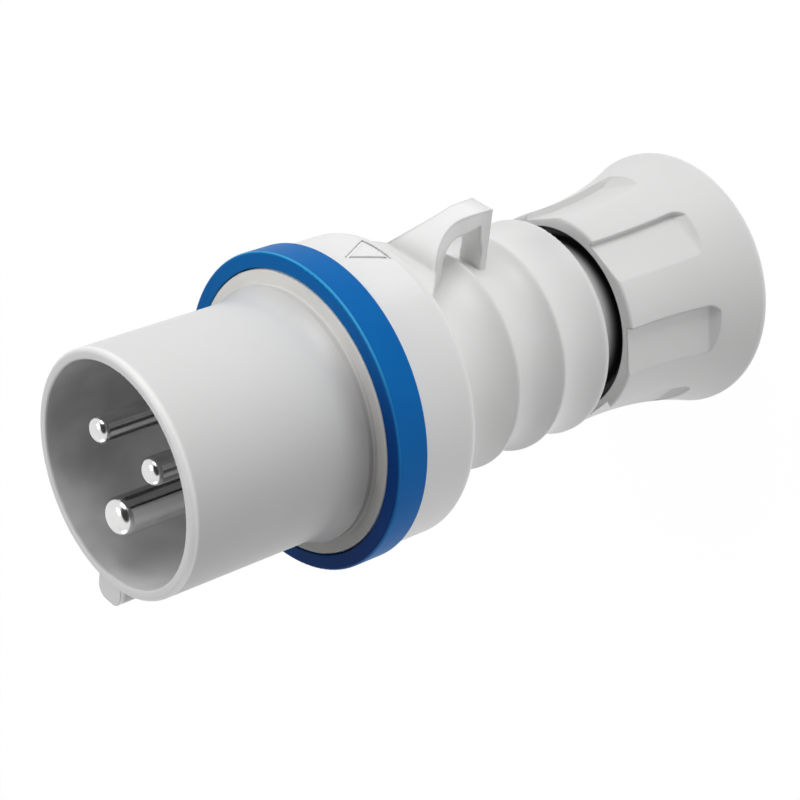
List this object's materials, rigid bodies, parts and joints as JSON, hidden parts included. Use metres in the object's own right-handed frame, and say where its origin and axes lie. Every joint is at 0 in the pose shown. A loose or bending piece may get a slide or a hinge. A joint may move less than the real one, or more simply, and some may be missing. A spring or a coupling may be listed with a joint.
{
  "type": "industrial pin and sleeve plug",
  "caption": "Straight industrial plug with round contact pins in a keyed sleeve, a blue colour ring, a waisted grip with a hanging loop and a fluted screw-on cord gland.",
  "frame": {"origin": "centre of the gland nut's flat rear lip, on the plug's axis, where it stands", "axes": "+Z along the plug's axis towards the pins, +Y towards the hanging loop, -Y towards the key and the earth pin"},
  "size_m": [0.0582, 0.0596, 0.1361],
  "materials": {
    "housing": "fine satin moulding",
    "ring_blue": "satin moulding",
    "contact_plate": "nickel plated, turned",
    "screw_steel": "zinc plated",
    "pad_brass": "plain",
    "seal_rubber": "matt",
    "insulator": "matt moulding",
    "cage_plastic": "matt moulding"
  },
  "bodies": {
    "plug": {"shroud": "housing", "colour_ring": "ring_blue", "body_seal": "seal_rubber", "line_pin": "contact_plate", "neutral_pin": "contact_plate", "earth_pin": "contact_plate", "line_terminal_screw": "screw_steel", "neutral_terminal_screw": "screw_steel", "earth_terminal_screw": "screw_steel", "line_pressure_pad": "pad_brass", "neutral_pressure_pad": "pad_brass", "earth_pressure_pad": "pad_brass", "pin_retainer": "insulator", "retainer_screw": "screw_steel", "front_screws": "screw_steel", "handle": "housing", "grommet": "seal_rubber", "grommet_washer": "screw_steel", "clamp_cage": "cage_plastic"},
    "slide_ring": {"pressure_ring": "cage_plastic"},
    "nut": {"gland_nut": "housing"}
  },
  "joints": [
    {"name": "nut_travel", "type": "slide", "parent": "plug", "child": "slide_ring", "axis": [0, 0, 1], "range_m": [-0.003, 0.006]},
    {"name": "nut_turn", "type": "hinge", "parent": "slide_ring", "child": "nut", "pos_m": [0, 0, 0], "axis": [0, 0, 1], "range_deg": [-360, 720]}
  ],
  "couplings": [
    {"joint": "nut_travel", "follows": "nut_turn", "m_per_rad": 0.00047746}
  ]
}
